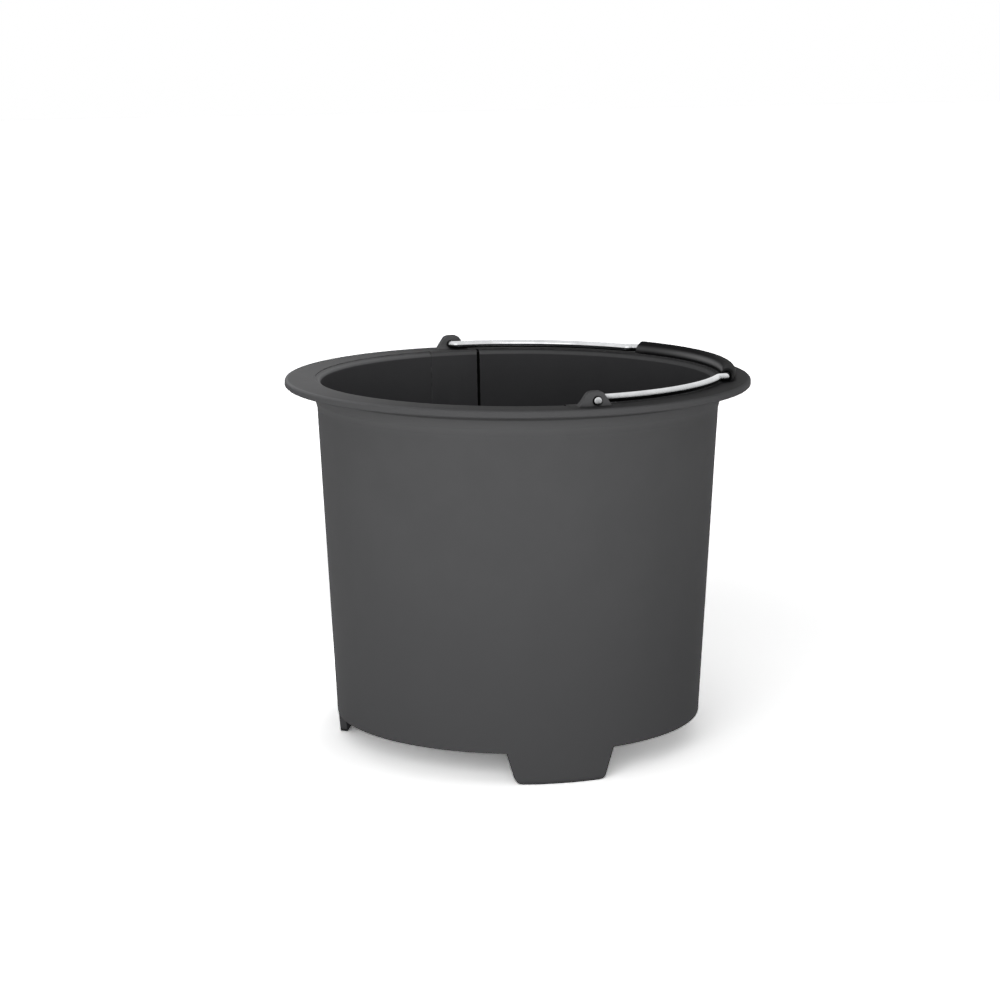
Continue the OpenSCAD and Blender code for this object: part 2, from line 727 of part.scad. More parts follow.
bucket();
front_wall_bar();
back_wall_bar();
ear_screws();
bail_wire();
bail_grip();
drive_shaft();
lower_agitator();
lower_spacer();
middle_blade();
upper_spacer();
upper_blade();
lock_washer();
dome_nut();
lower_bush();
upper_bush();
shaft_seal();
upper_thrust_washer();
lower_thrust_washer();
retaining_ring();
drive_coupling();
coupling_pin();
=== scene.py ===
import math
import bmesh
import bpy
from mathutils import Matrix, Vector


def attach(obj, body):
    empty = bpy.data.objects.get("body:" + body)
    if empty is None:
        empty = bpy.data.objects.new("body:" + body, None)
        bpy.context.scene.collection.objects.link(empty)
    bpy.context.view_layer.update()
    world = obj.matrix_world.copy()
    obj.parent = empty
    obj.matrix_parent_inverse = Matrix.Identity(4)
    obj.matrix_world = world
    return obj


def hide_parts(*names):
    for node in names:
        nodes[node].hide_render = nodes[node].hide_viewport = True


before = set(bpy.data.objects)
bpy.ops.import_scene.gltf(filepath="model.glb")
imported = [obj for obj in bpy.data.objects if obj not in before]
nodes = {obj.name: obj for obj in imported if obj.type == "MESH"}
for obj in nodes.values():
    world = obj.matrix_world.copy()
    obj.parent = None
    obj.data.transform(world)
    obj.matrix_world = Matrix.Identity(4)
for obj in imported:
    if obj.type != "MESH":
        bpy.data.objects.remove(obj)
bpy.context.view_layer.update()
MM = 0.001

# Sizes of the bail, in millimetres, as in the part's source; the grip's half span and lean are in degrees
WIRE_R = 1.95
BEND_R = 3.5
LEG_R = 101.0
HAND_R = 103.9
HINGE_Z = 186.0
WIRE_END = 108.9
GRIP_SPAN = 32.8
GRIP_LEAN = 22.0
GRIP_IN = 100.95
GRIP_OUT = 107.45
GRIP_LOW = -2.3
GRIP_TOP = 3.6
MOUTH_SHARE = 0.86
SEAT_GAP = 0.02

# Finer shape of the bail, in millimetres: the wire's domed ends, the grip's corners, lips and hollow ends
DOME_RISE = 0.35
GRIP_CORNER = 0.9
GRIP_LIP = 0.15
GRIP_HOLLOW = 3.4
HOLLOW_SHARE = 0.76
GRIP_STEPS = 48

# Sizes of the shell, in millimetres, as in the part's source; the gap is beside each wall bar
RIM_R = 115.0
RIM_Z = 183.4
FLANGE_Z = 179.9
LIP_Z = 180.5
FLOOR_MIDDLE = 20.5
POCKET_Z = 34.0
GAP_PLACE = 12.75
WALL_SLOPE = 0.05286

# Radius at height 0 of the line in the wall where its outside gives way to its inside, in millimetres
WALL_LINE = 88.8

# Broken edges: points closer than WELD metres are joined, faces within FLAT_ANGLE degrees are merged,
# and edges sharper than SHARP_ANGLE degrees are bevelled in BEVEL_STEPS steps
WELD = 2e-6
FLAT_ANGLE = 0.6
SHARP_ANGLE = 28
BEVEL_STEPS = 3


# Node building

def place(tree, kind, inputs=None, **settings):
    """A new node, with its settings and its inputs: a socket is joined, anything else is a plain value."""
    node = tree.nodes.new(kind)
    for name, value in settings.items():
        setattr(node, name, value)
    for key, value in (inputs or {}).items():
        if isinstance(value, bpy.types.NodeSocket):
            tree.links.new(value, node.inputs[key])
        else:
            node.inputs[key].default_value = value
    return node


def maths(tree, operation, *values, clamp=False):
    """Result of one Math node on sockets or numbers."""
    node = place(tree, "ShaderNodeMath", dict(enumerate(values)), operation=operation)
    node.use_clamp = clamp
    return node.outputs[0]


def product(tree, *values):
    """Product of sockets and numbers."""
    result = values[0]
    for value in values[1:]:
        result = maths(tree, "MULTIPLY", result, value)
    return result


def ramp(tree, value, low, high, to_low=0.0, to_high=1.0):
    """value from low to high, brought smoothly to to_low and to_high."""
    inputs = {"Value": value, "From Min": low, "From Max": high, "To Min": to_low, "To Max": to_high}
    return place(tree, "ShaderNodeMapRange", inputs, interpolation_type="SMOOTHSTEP").outputs[0]


def from_axis(tree, part):
    """Distance from the upright axis, from the x and y sockets of a place."""
    squares = maths(tree, "ADD", product(tree, part[0], part[0]), product(tree, part[1], part[1]))
    return maths(tree, "SQRT", squares)


def noise(tree, vector, scale, detail=2.0, rough=0.5):
    """Noise from 0 to 1, with scale cells in a metre."""
    inputs = {"Vector": vector, "Scale": scale, "Detail": detail, "Roughness": rough}
    return place(tree, "ShaderNodeTexNoise", inputs).outputs["Fac"]


def mixed(tree, factor, first, second):
    """Colour between first and second."""
    node = place(tree, "ShaderNodeMix", data_type="RGBA")
    for socket, value in ((node.inputs[0], factor), (node.inputs[6], first), (node.inputs[7], second)):
        if isinstance(value, bpy.types.NodeSocket):
            tree.links.new(value, socket)
        else:
            socket.default_value = value
    return node.outputs[2]


def grey(level, blue=0.002):
    """Colour of a grey level, with a little more blue."""
    return (level, level, level + blue, 1)


def effect(name, sockets_in, sockets_out):
    """Empty shader group with float inputs, given with their defaults, and a Vector input called Place."""
    tree = bpy.data.node_groups.new(name, "ShaderNodeTree")
    tree.interface.new_socket("Place", in_out="INPUT", socket_type="NodeSocketVector")
    for socket, default in sockets_in.items():
        made = tree.interface.new_socket(socket, in_out="INPUT", socket_type="NodeSocketFloat")
        made.default_value = default
    for socket in sockets_out:
        tree.interface.new_socket(socket, in_out="OUTPUT", socket_type="NodeSocketFloat")
    entry = tree.nodes.new("NodeGroupInput")
    leave = tree.nodes.new("NodeGroupOutput")
    return tree, entry.outputs, leave.inputs


def cast_grain():
    """Orange peel of a coated or cast skin: Height of the grain, and Cloud, its slow patches."""
    tree, given, result = effect("cast grain", {"Grain": 1400.0, "Patch": 45.0}, ["Height", "Cloud"])
    fine = noise(tree, given["Place"], given["Grain"], 2.0, 0.55)
    middle = noise(tree, given["Place"], product(tree, given["Grain"], 0.35), 1.0)
    slow = noise(tree, given["Place"], given["Patch"], 3.0, 0.6)
    height = maths(tree, "ADD", product(tree, fine, 0.65), product(tree, middle, 0.35))
    tree.links.new(height, result["Height"])
    tree.links.new(ramp(tree, slow, 0.3, 0.7), result["Cloud"])
    return tree


def edge_wear_and_sheen():
    """Edges, for wear and a painted sheen: Edge is 1 where the surface turns sharply, broken up by a noise.
    """
    tree, given, result = effect("edge wear and sheen", {"Radius": 0.0006, "Breaks": 260.0}, ["Edge"])
    rounded = place(tree, "ShaderNodeBevel", {"Radius": given["Radius"]}, samples=6).outputs[0]
    flat = place(tree, "ShaderNodeNewGeometry").outputs["Normal"]
    same = place(tree, "ShaderNodeVectorMath", {0: rounded, 1: flat}, operation="DOT_PRODUCT")
    nearly_flat, sharp = 0.985, 0.85
    turn = ramp(tree, same.outputs["Value"], nearly_flat, sharp)
    breaks = ramp(tree, noise(tree, given["Place"], given["Breaks"], 3.0), 0.35, 0.62)
    tree.links.new(product(tree, turn, breaks), result["Edge"])
    return tree


def turned_lines():
    """Fine rings that a lathe leaves about the upright axis: Height, and Band for wider rings."""
    tree, given, result = effect("turned lines", {"Lines": 5200.0}, ["Height", "Band"])
    part = place(tree, "ShaderNodeSeparateXYZ", {0: given["Place"]}).outputs
    radius = from_axis(tree, part)
    # A radian counts as so few metres that the noise is drawn out into rings
    stretch = 0.0004
    around = product(tree, maths(tree, "ARCTAN2", part[1], part[0]), stretch)
    where = place(tree, "ShaderNodeCombineXYZ", {0: radius, 1: part[2], 2: around}).outputs[0]
    tree.links.new(noise(tree, where, given["Lines"], 1.0), result["Height"])
    tree.links.new(noise(tree, where, product(tree, given["Lines"], 0.12), 2.0), result["Band"])
    return tree


def handling_marks():
    """Faint wiped smudges and short scratches: Smudge and Scratch."""
    tree, given, result = effect("handling marks", {"Size": 30.0, "Scratches": 420.0}, ["Smudge", "Scratch"])
    smudge = noise(tree, given["Place"], given["Size"], 4.0, 0.65)
    tree.links.new(ramp(tree, smudge, 0.38, 0.66), result["Smudge"])
    drawn_out = {0: given["Place"], 1: (1.0, 0.22, 0.08)}
    bent = place(tree, "ShaderNodeVectorMath", drawn_out, operation="MULTIPLY")
    lines = noise(tree, bent.outputs[0], given["Scratches"], 1.0)
    thin = ramp(tree, maths(tree, "ABSOLUTE", maths(tree, "SUBTRACT", lines, 0.5)), 0.006, 0.0)
    tree.links.new(product(tree, thin, ramp(tree, smudge, 0.55, 0.7)), result["Scratch"])
    return tree


def contact_shade():
    """Painted shade where another surface lies close: Painted Shade is 1 in the tightest corners, broken up
    by a noise.
    """
    tree, given, result = effect("painted contact shade", {"Reach": 0.005, "Open": 0.8, "Tight": 0.35}, ["Dirt"])
    around = place(tree, "ShaderNodeAmbientOcclusion", {"Distance": given["Reach"]}, samples=8)
    close = ramp(tree, around.outputs["AO"], given["Open"], given["Tight"])
    patchy = maths(tree, "ADD", 0.85, product(tree, noise(tree, given["Place"], 180.0, 3.0), 0.3))
    tree.links.new(maths(tree, "MULTIPLY", close, patchy, clamp=True), result["Dirt"])
    return tree


# Each effect is built once and placed in every material that uses it
GRAIN, WEAR_AND_SHEEN, TURNED, MARKS = cast_grain(), edge_wear_and_sheen(), turned_lines(), handling_marks()
CONTACT_SHADE = contact_shade()


# Finishes

def finish_material(name):
    """New material: its tree, its Principled shader and the place on the object."""
    material = bpy.data.materials.new(name)
    material.use_nodes = True
    tree = material.node_tree
    shader = tree.nodes["Principled BSDF"]
    place_on = place(tree, "ShaderNodeTexCoord").outputs["Object"]
    return material, tree, shader, place_on


def use(tree, group, where, **values):
    """An effect placed in a material, with its own values."""
    node = place(tree, "ShaderNodeGroup", node_tree=group)
    tree.links.new(where, node.inputs["Place"])
    for key, value in values.items():
        node.inputs[key].default_value = value
    return node.outputs


def bump(tree, shader, height, depth, under=None):
    """Relief of depth millimetres on the shader's normal, over another normal if one is given."""
    inputs = {"Height": height, "Strength": 1.0, "Distance": depth * MM}
    if under:
        inputs["Normal"] = under
    tree.links.new(place(tree, "ShaderNodeBump", inputs).outputs[0], shader.inputs["Normal"])


def shell_masks(tree, at):
    """Where the shell's coat changes shade, mostly painted shade and light, each as a value from 0 to 1, by
    height, radius and side.
    """
    part = place(tree, "ShaderNodeSeparateXYZ", {0: at}).outputs
    radius = from_axis(tree, part)
    wall_line = maths(tree, "ADD", product(tree, part[2], WALL_SLOPE), WALL_LINE * MM)
    depth = maths(tree, "SUBTRACT", wall_line, radius)
    side = product(tree, part[0], maths(tree, "SIGN", part[1]))

    def above(height, soft):
        """1 over a height, brought in over the soft millimetres above it."""
        return ramp(tree, part[2], height * MM, (height + soft) * MM)

    def below(height, soft):
        """1 under a height, brought in over the soft millimetres below it."""
        return ramp(tree, part[2], height * MM, (height - soft) * MM)

    def near(value, middle, reach):
        """1 within reach millimetres of a middle."""
        return maths(tree, "COMPARE", value, middle * MM, reach * MM)

    on_flat = ramp(tree, radius, (RIM_R - 0.8) * MM, (RIM_R - 2.2) * MM)
    in_wall = ramp(tree, depth, 0.0, 0.8 * MM)
    return {
        # Painted shade: the coat is darker towards the bottom of the wall
        "painted shade low down": product(tree, below(150, 150), 0.85),
        # Painted light: lighter on the collar, against the shade that the flange casts on it
        "collar": above(FLANGE_Z - 13.9, 10.2),
        # Painted shadow: a thin dark line just under the flange's edge
        "corner": above(FLANGE_Z - 3.7, 0.6),
        "flange": above(FLANGE_Z - 0.2, 0.2),
        # Painted shade: the flange's flat top, darker than its edge
        "top": product(tree, above(RIM_Z - 1.2, 0.8), below(RIM_Z + 0.5, 0.3), on_flat),
        # Painted shade: the shell's inside, from the lip down to its floor
        "inside": product(tree, in_wall, below(LIP_Z + 0.7, 0.6), above(FLOOR_MIDDLE - 0.2, 0.4)),
        # Painted shadow: the gap beside each wall bar, made black
        "gap": product(tree, near(side, GAP_PLACE, 0.78), near(depth, 0.4, 1.0), above(POCKET_Z - 0.5, 1.0)),
    }


def shell_coat():
    """Charcoal coat of the shell, with painted shade and light that follow the height, darker inside, and
    painted black in the pockets' gaps.
    """
    material, tree, shader, at = finish_material("shell_coat")
    masks = shell_masks(tree, at)
    grain = use(tree, GRAIN, at, Grain=1500.0, Patch=34.0)
    marks = use(tree, MARKS, at, Size=26.0)
    wear = use(tree, WEAR_AND_SHEEN, at, Radius=0.0007)
    close_shade = use(tree, CONTACT_SHADE, at, Reach=0.0045, Open=0.72, Tight=0.30)
    coat = mixed(tree, grain["Cloud"], grey(0.085), grey(0.089))
    layers = [
        # Painted shade, darker towards the bottom of the wall
        (masks["painted shade low down"], grey(0.069)),
        # Painted light on the collar under the flange
        (masks["collar"], grey(0.106)),
        # Painted shadow line just under the flange's edge
        (masks["corner"], grey(0.066, 0.001)),
        (masks["flange"], grey(0.087)),
        # Painted shade: darker on the flange's flat top
        (masks["top"], grey(0.058, 0.001)),
        # Painted shade: darker inside the shell
        (masks["inside"], mixed(tree, grain["Cloud"], grey(0.041), grey(0.044))),
        # Lighter edges: the coat rubbed there, with a painted sheen along them
        (product(tree, wear["Edge"], 0.25), grey(0.16, 0.005)),
        # Painted shade where another surface lies close, as on the flange under the wire
        (product(tree, close_shade["Dirt"], 0.85), grey(0.012, 0.001)),
        # Painted shadow: black in the gap beside each wall bar
        (masks["gap"], grey(0.004, 0.0)),
    ]
    for mask, shade in layers:
        coat = mixed(tree, mask, coat, shade)
    tree.links.new(coat, shader.inputs["Base Color"])
    rough = maths(tree, "ADD", 0.60, product(tree, marks["Smudge"], 0.05))
    rough = maths(tree, "SUBTRACT", rough, product(tree, wear["Edge"], 0.08))
    tree.links.new(rough, shader.inputs["Roughness"])
    shader.inputs["Specular IOR Level"].default_value = 0.01
    soft = place(tree, "ShaderNodeBevel", {"Radius": 0.0003}, samples=4).outputs[0]
    bump(tree, shader, grain["Height"], 0.012, soft)
    return material


def steel(name, dark, light, roughness, lines=0.0, grain=0.0, wear=0.0, painted_shade=(0.5, 0.004, 0.8, 0.35)):
    """A metal: two tones, lathe lines, grain, worn edges and painted shade where surfaces lie close (amount,
    reach, open, tight).
    """
    material, tree, shader, at = finish_material(name)
    marks = use(tree, MARKS, at, Size=60.0)
    skin = use(tree, GRAIN, at, Grain=2600.0, Patch=110.0)
    turned = use(tree, TURNED, at)
    edge = use(tree, WEAR_AND_SHEEN, at, Radius=0.0004)
    patches = 1.0 - lines
    tone = maths(tree, "ADD", product(tree, turned["Band"], lines), product(tree, skin["Cloud"], patches))
    colour = mixed(tree, tone, (*dark, 1), (*light, 1))
    bright = tuple(min(1.0, channel * 1.15 + 0.12) for channel in light)
    colour = mixed(tree, product(tree, edge["Edge"], wear), colour, (*bright, 1))
    amount, reach, open_at, tight_at = painted_shade
    # Painted shade: darker where another surface lies close
    close_shade = use(tree, CONTACT_SHADE, at, Reach=reach, Open=open_at, Tight=tight_at)
    colour = mixed(tree, product(tree, close_shade["Dirt"], amount), colour, grey(0.03, 0.0))
    tree.links.new(colour, shader.inputs["Base Color"])
    rough = maths(tree, "ADD", roughness, product(tree, marks["Smudge"], 0.10))
    rough = maths(tree, "SUBTRACT", rough, product(tree, marks["Scratch"], 0.12))
    tree.links.new(rough, shader.inputs["Roughness"])
    shader.inputs["Metallic"].default_value = 1.0
    height = maths(tree, "ADD", product(tree, turned["Height"], lines), product(tree, skin["Height"], grain))
    bump(tree, shader, height, 0.010)
    return material


def painted_highlight_band(tree, at):
    """Painted highlight: a paler band along the grip's flanks, 1 in its middle, weaker towards its ends."""
    part = place(tree, "ShaderNodeSeparateXYZ", {0: at}).outputs
    from_below = ramp(tree, part[2], (HINGE_Z - 1.8) * MM, (HINGE_Z + 0.1) * MM)
    from_above = ramp(tree, part[2], (HINGE_Z + 2.4) * MM, (HINGE_Z + 0.3) * MM)
    from_far_end = ramp(tree, part[1], 50 * MM, -5 * MM, 0.35, 1.0)
    from_near_end = ramp(tree, part[1], -50 * MM, -30 * MM, 0.1, 1.0)
    return product(tree, from_below, from_above, from_far_end, from_near_end)


def moulded(name, dark, light, roughness, grain, shine, painted_highlight=None):
    """A moulded plastic or rubber: fine grain, wiped patches and, if given, the colour of a painted
    highlight band on its flanks.
    """
    material, tree, shader, at = finish_material(name)
    skin = use(tree, GRAIN, at, Grain=grain, Patch=90.0)
    marks = use(tree, MARKS, at, Size=45.0)
    colour = mixed(tree, skin["Cloud"], (*dark, 1), (*light, 1))
    # Painted highlight: a paler band along the flanks, where its colour is given
    if painted_highlight:
        colour = mixed(tree, painted_highlight_band(tree, at), colour, (*painted_highlight, 1))
    tree.links.new(colour, shader.inputs["Base Color"])
    rough = maths(tree, "ADD", roughness, product(tree, marks["Smudge"], 0.08))
    tree.links.new(rough, shader.inputs["Roughness"])
    shader.inputs["Specular IOR Level"].default_value = shine
    bump(tree, shader, skin["Height"], 0.008)
    return material


FINISHES = {
    "shell_coat": shell_coat(),
    # The wire's underside is painted dark where the flange lies close: painted shade and a painted
    # reflection of the dark flange
    "bail_steel": steel(
        "bail_steel", (0.65, 0.66, 0.67), (0.75, 0.76, 0.77), roughness=0.14,
        painted_shade=(0.96, 0.012, 1.0, 0.45)),
    # The grip's paler band along its flanks is a painted highlight
    "grip_black": moulded(
        "grip_black", (0.013, 0.013, 0.0135), (0.017, 0.017, 0.0175), roughness=0.42, grain=2400.0,
        shine=0.004, painted_highlight=(0.20, 0.20, 0.202)),
    "cast_steel": steel(
        "cast_steel", (0.40, 0.41, 0.42), (0.50, 0.51, 0.52), roughness=0.42, grain=1.0, wear=0.6),
    "turned_steel": steel(
        "turned_steel", (0.52, 0.53, 0.54), (0.64, 0.65, 0.66), roughness=0.22, lines=0.8, wear=0.4),
    "bronze": steel(
        "bronze", (0.42, 0.27, 0.12), (0.52, 0.35, 0.17), roughness=0.38, lines=0.3, grain=0.7, wear=0.3),
    "seal_rubber": moulded(
        "seal_rubber", (0.20, 0.035, 0.018), (0.26, 0.05, 0.025), roughness=0.62, grain=3200.0,
        shine=0.3),
    "dark_steel": steel(
        "dark_steel", (0.07, 0.07, 0.075), (0.11, 0.11, 0.115), roughness=0.36, grain=0.4, wear=0.5),
}
SLOT_OF = {
    "bucket": "shell_coat", "front_wall_bar": "shell_coat", "back_wall_bar": "shell_coat",
    "ear_screws": "dark_steel", "drive_shaft": "turned_steel", "lower_agitator": "cast_steel",
    "lower_spacer": "turned_steel", "middle_blade": "cast_steel", "upper_spacer": "turned_steel",
    "upper_blade": "cast_steel", "lock_washer": "turned_steel", "dome_nut": "turned_steel",
    "lower_bush": "bronze", "upper_bush": "bronze", "shaft_seal": "seal_rubber",
    "upper_thrust_washer": "bronze", "lower_thrust_washer": "bronze",
    "retaining_ring": "dark_steel", "drive_coupling": "dark_steel", "coupling_pin": "turned_steel",
}


def dress(piece, slot):
    """Gives a piece one finish in all its slots."""
    piece.data.materials.clear()
    piece.data.materials.append(FINISHES[slot])


for node_name, slot_name in SLOT_OF.items():
    dress(nodes[node_name], slot_name)


# Pieces

def mesh_piece(name, body, node, slot, points, faces, smooth_angle=40):
    """Piece in millimetres that stands for a CAD node, rides on a body and has a finish."""
    mesh = bpy.data.meshes.new(name)
    mesh.from_pydata([Vector(p) * MM for p in points], [], faces)
    built = bmesh.new()
    built.from_mesh(mesh)
    bmesh.ops.recalc_face_normals(built, faces=built.faces)
    built.to_mesh(mesh)
    built.free()
    mesh.polygons.foreach_set("use_smooth", [True] * len(mesh.polygons))
    mesh.set_sharp_from_angle(angle=math.radians(smooth_angle))
    piece = bpy.data.objects.new(name, mesh)
    bpy.context.scene.collection.objects.link(piece)
    dress(piece, slot)
    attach(piece, body)
    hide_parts(node)
    return piece


def arc(cx, cy, r, start, end, steps):
    """Points along an arc, angles in degrees."""
    turn = [math.radians(start + (end - start) * i / steps) for i in range(steps + 1)]
    return [(cx + r * math.cos(a), cy + r * math.sin(a)) for a in turn]


def wire_line():
    """Centre line of the bail's wire, from one end in its ear to the other."""
    bend_y = math.sqrt((LEG_R + BEND_R) ** 2 - BEND_R ** 2)
    bend_a = math.degrees(math.atan2(bend_y, BEND_R))
    out_c, in_c = LEG_R + BEND_R, HAND_R - BEND_R
    turn = math.degrees(math.acos((out_c ** 2 + in_c ** 2 - 4 * BEND_R ** 2) / (2 * out_c * in_c)))
    past_grip = 0.5
    in_a = GRIP_SPAN + past_grip
    out_a = in_a + turn
    out_x, out_y = (out_c * f(math.radians(out_a)) for f in (math.cos, math.sin))
    in_x, in_y = (in_c * f(math.radians(in_a)) for f in (math.cos, math.sin))
    meet = math.degrees(math.atan2(out_y - in_y, out_x - in_x))
    half = [(0, WIRE_END - DOME_RISE), (0, (WIRE_END + bend_y) / 2)]
    half += arc(BEND_R, bend_y, BEND_R, 180, 180 + bend_a, steps=14)
    half += arc(0, 0, LEG_R, bend_a, out_a, steps=60)[1:]
    half += arc(out_x, out_y, BEND_R, out_a + 180, meet + 180, steps=10)[1:]
    half += arc(in_x, in_y, BEND_R, meet, in_a, steps=10)[1:]
    half += arc(0, 0, HAND_R, in_a, 0, steps=30)[1:]
    return half + [(x, -y) for x, y in reversed(half[:-1])]


def lofted(loops, caps=()):
    """Points and faces of a skin over equal closed loops; caps gives the faces of its ends."""
    count = len(loops[0])
    points = [p for loop in loops for p in loop]
    faces = []
    for i in range(len(loops) - 1):
        for k in range(count):
            a, b = i * count + k, i * count + (k + 1) % count
            faces.append((a, b, b + count, a + count))
    return points, faces + list(caps)


def bail_wire(sides=28):
    """Bright wire with slightly domed ends."""
    line = wire_line()
    last = len(line) - 1
    loops = []

    def loop(at, across, radius, shift=(0, 0)):
        """Ring about a point of the line, moved by shift."""
        turn = [2 * math.pi * k / sides for k in range(sides)]
        loops.append([(at[0] + shift[0] + radius * math.cos(a) * across[0],
                       at[1] + shift[1] + radius * math.cos(a) * across[1],
                       HINGE_Z + radius * math.sin(a)) for a in turn])

    def across_at(i):
        """Direction across the line at its point i."""
        (x0, y0), (x1, y1) = line[max(i - 1, 0)], line[min(i + 1, last)]
        long = math.hypot(x1 - x0, y1 - y0)
        return (-(y1 - y0) / long, (x1 - x0) / long)

    dome = [(DOME_RISE, 0.80), (0.27, 0.93), (0.12, 0.985)]
    for rise, share in dome:
        loop(line[0], across_at(0), WIRE_R * share, (0, rise))
    for i in range(last + 1):
        loop(line[i], across_at(i), WIRE_R)
    for rise, share in reversed(dome):
        loop(line[last], across_at(last), WIRE_R * share, (0, -rise))
    top = (len(loops) - 1) * sides
    caps = [tuple(range(sides - 1, -1, -1)), tuple(range(top, top + sides))]
    points, faces = lofted(loops, caps)
    return mesh_piece("bail_wire_drawn", "bail", "bail_wire", "bail_steel", points, faces)


def grip_loops():
    """Outer and inner halves of the grip's section, open below where the wire snaps in."""
    round_r = (GRIP_OUT - GRIP_IN) / 2
    middle = (GRIP_OUT + GRIP_IN) / 2
    mouth = WIRE_R * MOUTH_SHARE
    channel_r = WIRE_R + SEAT_GAP
    corner_z = GRIP_LOW + GRIP_CORNER
    top = GRIP_TOP - round_r
    outer = [(HAND_R + mouth + GRIP_LIP, GRIP_LOW)]
    outer += arc(GRIP_OUT - GRIP_CORNER, corner_z, GRIP_CORNER, 270, 360, steps=5)
    outer += arc(middle, top, round_r, 0, 180, steps=26)
    outer += arc(GRIP_IN + GRIP_CORNER, corner_z, GRIP_CORNER, 180, 270, steps=5)
    outer += [(HAND_R - mouth - GRIP_LIP, GRIP_LOW)]
    low = math.degrees(math.asin(mouth / channel_r))
    first, last = (HAND_R + mouth, GRIP_LOW + GRIP_LIP), (HAND_R - mouth, GRIP_LOW + GRIP_LIP)
    channel = [first, *arc(HAND_R, 0, channel_r, -90 + low, 270 - low, steps=len(outer) - 3), last]
    share = HOLLOW_SHARE
    smaller = [(middle + (r - middle) * share, top + (z - top) * share) for r, z in outer[1:-1]]
    hollow = [first, *smaller, last]
    return outer, channel, hollow


def bail_grip():
    """Black grip: round top, hollow ends that lean back, open below over the wire."""
    outer, channel, hollow = grip_loops()
    middle = (GRIP_OUT + GRIP_IN) / 2
    middle_z = (GRIP_LOW + GRIP_TOP) / 2
    lean = math.tan(math.radians(GRIP_LEAN))
    loops = []

    # About half the section's width and height, against which its ends shrink
    half_wide, half_high = 3.2, 3.0

    def loop(share, back, inner, shrink=0.0):
        """Loop at share of the half span, set back and shrunk by so many millimetres."""
        narrow, lower = 1 - shrink / half_wide, 1 - shrink / half_high
        section = [(middle + (r - middle) * narrow, middle_z + (z - middle_z) * lower) for r, z in outer]
        section += reversed(inner)
        made = []
        for r, z in section:
            reach = math.radians(GRIP_SPAN) * HAND_R - (z - GRIP_LOW) * lean - back
            a = share * reach / HAND_R
            made.append((r * math.cos(a), r * math.sin(a), HINGE_Z + z))
        loops.append(made)

    # Rows of an end, from its face in: how far back, the inner half there, and how much the outer shrinks
    end = [(0.0, hollow, 0.22), (0.08, hollow, 0.08), (0.25, hollow, 0.0),
           (GRIP_HOLLOW, hollow, 0.0), (GRIP_HOLLOW, channel, 0.0)]
    for back, inner, shrink in end:
        loop(-1, back, inner, shrink)
    for i in range(1, GRIP_STEPS):
        loop(-1 + 2 * i / GRIP_STEPS, GRIP_HOLLOW, channel)
    for back, inner, shrink in reversed(end):
        loop(1, back, inner, shrink)
    count = len(outer)
    size = 2 * count
    start = (len(loops) - 1) * size
    caps = []
    for k in range(count - 1):
        a, b, c, d = k, k + 1, size - 2 - k, size - 1 - k
        caps += [(d, c, b, a), (start + a, start + b, start + c, start + d)]
    points, faces = lofted(loops, caps)
    return mesh_piece("bail_grip_moulded", "bail", "bail_grip", "grip_black", points, faces, smooth_angle=50)


def softened(node, body, width, smooth_angle=35):
    """Copy of a CAD node whose sharp edges are broken by a small real bevel, width millimetres wide."""
    slot = SLOT_OF[node]
    mesh = nodes[node].data.copy()
    mesh.name = node + "_finished"
    piece = bpy.data.objects.new(node + "_finished", mesh)
    bpy.context.scene.collection.objects.link(piece)
    built = bmesh.new()
    built.from_mesh(mesh)
    bmesh.ops.remove_doubles(built, verts=built.verts, dist=WELD)
    flat = math.radians(FLAT_ANGLE)
    bmesh.ops.dissolve_limit(built, angle_limit=flat, verts=built.verts, edges=built.edges)
    built.to_mesh(mesh)
    built.free()
    bevel = piece.modifiers.new("broken edges", "BEVEL")
    bevel.width = width * MM
    bevel.segments = BEVEL_STEPS
    bevel.limit_method = "ANGLE"
    bevel.angle_limit = math.radians(SHARP_ANGLE)
    bevel.use_clamp_overlap = True
    mesh.polygons.foreach_set("use_smooth", [True] * len(mesh.polygons))
    mesh.set_sharp_from_angle(angle=math.radians(smooth_angle))
    dress(piece, slot)
    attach(piece, body)
    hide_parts(node)
    return piece


bail_wire()
bail_grip()
for node_name in ("front_wall_bar", "back_wall_bar"):
    softened(node_name, "shell", 0.55)
for node_name in ("lower_agitator", "middle_blade", "upper_blade", "drive_coupling"):
    softened(node_name, "agitator", 0.4)


# Camera, light and floor

# Camera: its lens and sensor are in millimetres, its stand in metres, and its angles in degrees
LENS = 100.25
SENSOR = 36
CAMERA_STAND = (0.017069, -1.364546, 0.379407)
HEADING = -20.6
PAN, TILT, ROLL = 1.088, 10.738, -0.129

# Strength of the room's light at the horizon, half way up and overhead
ROOM_LIGHT = (2.55, 0.0, 0.25)

# Floor's tone where it lights the object, as seen near it and far from it, and as mirrored in metal
# The lower tone near the object is painted shade: it deepens the object's shadow there
FLOOR_WHITE = 0.9
FLOOR_SEEN = 3.0
FLOOR_FAR = 4.6
FLOOR_MIRRORED = 2.2

# Floor's width, and how far from the upright axis it is near and far, in metres
FLOOR_WIDE = 12
NEAR_AWAY = 0.25
FAR_AWAY = 0.9

# Lamps: name, kind, where it stands, where it aims, its size in metres or cone in degrees, and its watts
LAMPS = [
    ("front", "AREA", (-0.4, -2.0, 0.7), (0, 0, 0.1), 1.6, 6.0),
    ("near front", "AREA", (-0.1, -0.75, 0.30), (0, 0, 0.15), 0.5, 1.5),
    ("near left", "SPOT", (-0.09, 0.0, 0.45), (-0.12, 0, 0.18), 64, 4.1),
]

# How softly a spot's cone ends, and its size in metres, which softens its shadows
SPOT_BLEND = 1.0
SPOT_SIZE = 0.05


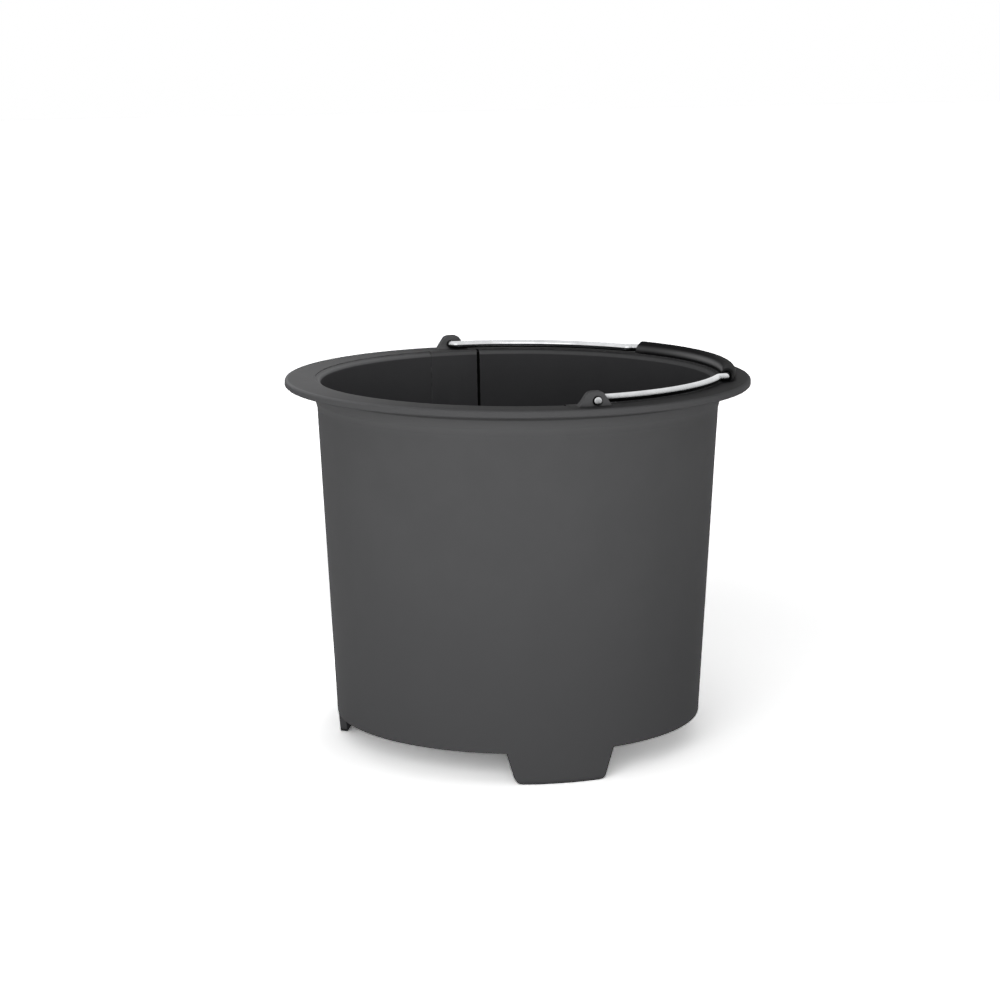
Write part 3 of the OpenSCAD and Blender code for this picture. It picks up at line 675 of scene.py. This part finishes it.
def aim_camera():
    """Sets up the photograph's camera, and returns the turn about the upright axis that it stands at."""
    camera = bpy.data.objects.new("camera", bpy.data.cameras.new("camera"))
    bpy.context.scene.collection.objects.link(camera)
    bpy.context.scene.camera = camera
    camera.data.lens = LENS
    camera.data.sensor_width = SENSOR
    turn = Matrix.Rotation(math.radians(HEADING), 4, "Z")
    camera.matrix_world = (Matrix.Translation(turn @ Vector(CAMERA_STAND))
                           @ Matrix.Rotation(math.radians(PAN + HEADING), 4, "Z")
                           @ Matrix.Rotation(math.radians(90 - TILT), 4, "X")
                           @ Matrix.Rotation(math.radians(ROLL), 4, "Z"))
    return turn


def soft_lamp(turn, name, kind, stand, aim, size, power):
    """Area or spot lamp, placed in axes that turn with the camera; only the front one shows in metal."""
    lamp = bpy.data.lights.new(name, kind)
    if kind == "SPOT":
        lamp.spot_size = math.radians(size)
        lamp.spot_blend = SPOT_BLEND
        lamp.shadow_soft_size = SPOT_SIZE
    else:
        lamp.size = size
    lamp.energy = power
    piece = bpy.data.objects.new(name, lamp)
    bpy.context.scene.collection.objects.link(piece)
    piece.visible_camera = False
    piece.visible_glossy = name == "front"
    piece.location = turn @ Vector(stand)
    piece.rotation_euler = (turn @ Vector(aim) - piece.location).to_track_quat("-Z", "Y").to_euler()


def white_room(low, middle, high):
    """World that lights softly, by height from the horizon, and looks white to camera, metal and glass."""
    world = bpy.data.worlds.new("white room")
    bpy.context.scene.world = world
    world.use_nodes = True
    tree = world.node_tree
    way = place(tree, "ShaderNodeSeparateXYZ", {0: place(tree, "ShaderNodeTexCoord").outputs["Generated"]})
    rise = product(tree, maths(tree, "ABSOLUTE", way.outputs[2]), 2.0)
    lower_half = maths(tree, "MINIMUM", rise, 1.0)
    upper_half = maths(tree, "MAXIMUM", maths(tree, "SUBTRACT", rise, 1.0), 0.0)
    soft = maths(tree, "ADD", product(tree, lower_half, middle - low), low)
    soft = maths(tree, "ADD", soft, product(tree, upper_half, high - middle))
    path = place(tree, "ShaderNodeLightPath").outputs
    seen = maths(tree, "MAXIMUM", path["Is Camera Ray"], path["Is Glossy Ray"])
    seen = maths(tree, "MAXIMUM", seen, path["Is Transmission Ray"])
    level = maths(tree, "ADD", seen, product(tree, soft, maths(tree, "SUBTRACT", 1.0, seen)))
    ground = tree.nodes["Background"]
    ground.inputs["Color"].default_value = (1, 1, 1, 1)
    tree.links.new(level, ground.inputs["Strength"])


def pale_floor():
    """White floor that keeps the object's shadow and looks white at the light's plain level; near the object
    its tone is lower, a painted shade that deepens the shadow there.
    """
    bpy.ops.mesh.primitive_plane_add(size=FLOOR_WIDE)
    floor = bpy.context.object
    floor.name = "floor"
    material = bpy.data.materials.new("floor_white")
    material.use_nodes = True
    tree = material.node_tree
    path = place(tree, "ShaderNodeLightPath").outputs
    at = place(tree, "ShaderNodeTexCoord").outputs["Object"]
    away = from_axis(tree, place(tree, "ShaderNodeSeparateXYZ", {0: at}).outputs)
    extra = ramp(tree, away, NEAR_AWAY, FAR_AWAY, FLOOR_SEEN - FLOOR_WHITE, FLOOR_FAR - FLOOR_WHITE)
    shown = product(tree, path["Is Camera Ray"], extra)
    mirrored = product(tree, path["Is Glossy Ray"], FLOOR_MIRRORED - FLOOR_WHITE)
    level = maths(tree, "ADD", maths(tree, "ADD", shown, mirrored), FLOOR_WHITE)
    colour = place(tree, "ShaderNodeCombineColor", {0: level, 1: level, 2: level}).outputs[0]
    card = place(tree, "ShaderNodeBsdfDiffuse", {"Color": colour})
    tree.nodes.remove(tree.nodes["Principled BSDF"])
    tree.links.new(card.outputs[0], tree.nodes["Material Output"].inputs["Surface"])
    floor.data.materials.append(material)


scene = bpy.context.scene
scene.view_settings.view_transform = "Standard"
camera_turn = aim_camera()
white_room(*ROOM_LIGHT)
pale_floor()
for lamp_row in LAMPS:
    soft_lamp(camera_turn, *lamp_row)
